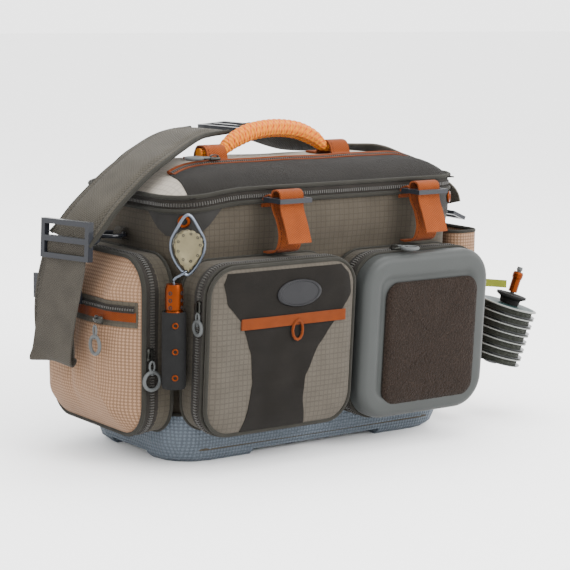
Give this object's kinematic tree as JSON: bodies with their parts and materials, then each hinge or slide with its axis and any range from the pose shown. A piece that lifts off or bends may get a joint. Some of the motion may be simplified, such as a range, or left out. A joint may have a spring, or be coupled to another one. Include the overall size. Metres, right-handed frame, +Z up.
{
  "type": "fishing gear bag",
  "caption": "Soft fishing gear bag on a moulded base with a hinged lid, zipped front pockets, shoulder strap, carry handle, hanging tool and line spools.",
  "frame": {"origin": "middle of the whole outline at the bottom of the base's feet", "axes": "+Z up, +X along the bag's length to the side with the line spools, the front pockets face -Y"},
  "size_m": [0.5151, 0.2406, 0.2934],
  "materials": {
    "black_plastic": "moulded",
    "board": "matte",
    "body_fabric": "ripstop",
    "brown_fabric": "twill",
    "foam_sleeve": "foam",
    "gold_metal": "anodised gold",
    "grey_foam": "fabric-faced moulded foam",
    "grey_rubber": "matte",
    "gunmetal": "dark plated",
    "mesh_fabric": "open mesh",
    "olive_webbing": "woven webbing",
    "orange_metal": "anodised orange",
    "orange_webbing": "woven webbing",
    "rope": "braided",
    "rubber_base": "matte, moulded",
    "spool_plastic": "moulded",
    "yellow_webbing": "woven webbing",
    "zip_tape": "woven tape with coil"
  },
  "bodies": {
    "case": {"base_tray": "rubber_base", "compression_buckle_left": "black_plastic", "compression_buckle_right": "black_plastic", "compression_strap_left": "orange_webbing", "compression_strap_right": "orange_webbing", "d_ring_left": "black_plastic", "d_ring_right": "black_plastic", "eva_pocket_gusset": "body_fabric", "floor_board": "board", "front_pocket_gusset": "body_fabric", "ladder_lock_left": "black_plastic", "left_pocket_gusset": "body_fabric", "left_pocket_panel": "mesh_fabric", "main_shell": "body_fabric", "main_zip_tape": "zip_tape", "rear_pocket": "body_fabric", "right_pocket": "body_fabric", "spool_cone": "foam_sleeve", "spool_cord": "grey_rubber", "spool_tab": "yellow_webbing", "spool_toggle": "orange_metal", "strap_hook_left": "black_plastic", "strap_hook_right": "black_plastic", "strap_tab_left": "olive_webbing", "strap_tab_right": "olive_webbing", "strap_webbing_left": "olive_webbing", "tri_glide": "black_plastic"},
    "lid": {"lid_panel": "brown_fabric", "lid_pocket_zip": "orange_webbing", "handle_anchor_left": "orange_webbing", "handle_anchor_right": "orange_webbing", "strap_pad": "olive_webbing", "ladder_lock_top": "black_plastic", "strap_webbing_right": "olive_webbing"},
    "handle": {"handle_grip": "rope"},
    "lid_slider": {"lid_slider": "gunmetal"},
    "lid_pull": {"lid_pull": "grey_rubber"},
    "main_slider": {"main_slider": "gunmetal"},
    "edge_slider": {"edge_slider": "gunmetal"},
    "edge_pull": {"edge_pull": "grey_rubber"},
    "mesh_slider": {"mesh_slider": "gunmetal"},
    "mesh_pull": {"mesh_pull": "grey_rubber"},
    "front_door": {"front_pocket_panel": "brown_fabric"},
    "front_slider": {"front_slider": "gunmetal"},
    "front_pull": {"front_pull": "grey_rubber"},
    "eva_door": {"eva_shell": "grey_foam", "eva_patch": "brown_fabric"},
    "eva_slider": {"eva_slider": "gunmetal"},
    "eva_pull": {"eva_pull": "grey_rubber"},
    "tool_reel": {"tool_reel": "gold_metal", "reel_clip": "grey_rubber"},
    "tool_tube": {"tool_tube": "orange_metal"},
    "tool_sleeve": {"tool_sleeve": "foam_sleeve"},
    "spool_1": {"line_spool_1": "spool_plastic"},
    "spool_2": {"line_spool_2": "spool_plastic"},
    "spool_3": {"line_spool_3": "spool_plastic"},
    "spool_4": {"line_spool_4": "spool_plastic"},
    "spool_5": {"line_spool_5": "spool_plastic"},
    "spool_6": {"line_spool_6": "spool_plastic"},
    "spool_7": {"line_spool_7": "spool_plastic"}
  },
  "joints": [
    {"name": "lid_hinge", "type": "hinge", "parent": "case", "child": "lid", "pos_m": [-0.0135, 0.1043, 0.24], "axis": [-1, 0, 0], "range_deg": [0, 95]},
    {"name": "handle_swing", "type": "hinge", "parent": "lid", "child": "handle", "pos_m": [-0.0135, 0.0176, 0.266], "axis": [1, 0, 0], "range_deg": [0, 60]},
    {"name": "lid_slider_travel", "type": "slide", "parent": "lid", "child": "lid_slider", "axis": [1, 0, 0], "range_m": [0, 0.16]},
    {"name": "lid_pull_swing", "type": "hinge", "parent": "lid_slider", "child": "lid_pull", "pos_m": [-0.106, -0.0124, 0.2645], "axis": [0, 1, 0], "range_deg": [0, 90]},
    {"name": "main_slider_travel", "type": "slide", "parent": "case", "child": "main_slider", "axis": [0, 1, 0], "range_m": [-0.065, 0.02]},
    {"name": "edge_slider_travel", "type": "slide", "parent": "case", "child": "edge_slider", "axis": [0, 0, 1], "range_m": [-0.04, 0.045]},
    {"name": "edge_pull_swing", "type": "hinge", "parent": "edge_slider", "child": "edge_pull", "pos_m": [-0.1985, -0.0679, 0.098], "axis": [-1, 0, 0], "range_deg": [0, 7]},
    {"name": "mesh_slider_travel", "type": "slide", "parent": "case", "child": "mesh_slider", "axis": [0, 1, 0], "range_m": [0, 0.085]},
    {"name": "mesh_pull_swing", "type": "hinge", "parent": "mesh_slider", "child": "mesh_pull", "pos_m": [-0.231, -0.0274, 0.126], "axis": [0, 1, 0], "range_deg": [0, 8]},
    {"name": "front_door_hinge", "type": "hinge", "parent": "case", "child": "front_door", "pos_m": [-0.0915, -0.0999, 0.034], "axis": [1, 0, 0], "range_deg": [0, 80]},
    {"name": "front_slider_travel", "type": "slide", "parent": "case", "child": "front_slider", "axis": [0, 0, 1], "range_m": [-0.08, 0]},
    {"name": "front_pull_swing", "type": "hinge", "parent": "front_slider", "child": "front_pull", "pos_m": [-0.1723, -0.0979, 0.142], "axis": [0, 1, 0], "range_deg": [0, 10]},
    {"name": "eva_door_hinge", "type": "hinge", "parent": "case", "child": "eva_door", "pos_m": [0.0665, -0.0914, 0.03], "axis": [1, 0, 0], "range_deg": [0, 85]},
    {"name": "eva_slider_travel", "type": "slide", "parent": "case", "child": "eva_slider", "axis": [1, 0, 0], "range_m": [-0.03, 0.012]},
    {"name": "eva_pull_swing", "type": "hinge", "parent": "eva_slider", "child": "eva_pull", "pos_m": [0.0465, -0.0974, 0.185], "axis": [-1, 0, 0], "range_deg": [0, 90]},
    {"name": "tool_reel_swing", "type": "hinge", "parent": "case", "child": "tool_reel", "pos_m": [-0.167, -0.0724, 0.223], "axis": [-1, 0, 0], "range_deg": [0, 30]},
    {"name": "tool_tube_swing", "type": "hinge", "parent": "tool_reel", "child": "tool_tube", "pos_m": [-0.185, -0.0809, 0.1655], "axis": [-1, 0, 0], "range_deg": [0, 25]},
    {"name": "sleeve_slide", "type": "slide", "parent": "tool_tube", "child": "tool_sleeve", "axis": [0, 0, -1], "range_m": [0, 0.03]},
    {"name": "spool_1_spin", "type": "hinge", "parent": "case", "child": "spool_1", "pos_m": [0.21739, -0.03896, 0.05765], "axis": [0.2353, -0.1461, 0.9609], "continuous": true},
    {"name": "spool_2_spin", "type": "hinge", "parent": "case", "child": "spool_2", "pos_m": [0.21932, -0.04015, 0.06553], "axis": [0.2353, -0.1461, 0.9609], "continuous": true},
    {"name": "spool_3_spin", "type": "hinge", "parent": "case", "child": "spool_3", "pos_m": [0.22125, -0.04135, 0.07341], "axis": [0.2353, -0.1461, 0.9609], "continuous": true},
    {"name": "spool_4_spin", "type": "hinge", "parent": "case", "child": "spool_4", "pos_m": [0.22318, -0.04255, 0.08129], "axis": [0.2353, -0.1461, 0.9609], "continuous": true},
    {"name": "spool_5_spin", "type": "hinge", "parent": "case", "child": "spool_5", "pos_m": [0.22511, -0.04375, 0.08917], "axis": [0.2353, -0.1461, 0.9609], "continuous": true},
    {"name": "spool_6_spin", "type": "hinge", "parent": "case", "child": "spool_6", "pos_m": [0.22704, -0.04494, 0.09705], "axis": [0.2353, -0.1461, 0.9609], "continuous": true},
    {"name": "spool_7_spin", "type": "hinge", "parent": "case", "child": "spool_7", "pos_m": [0.22897, -0.04614, 0.10493], "axis": [0.2353, -0.1461, 0.9609], "continuous": true}
  ]
}
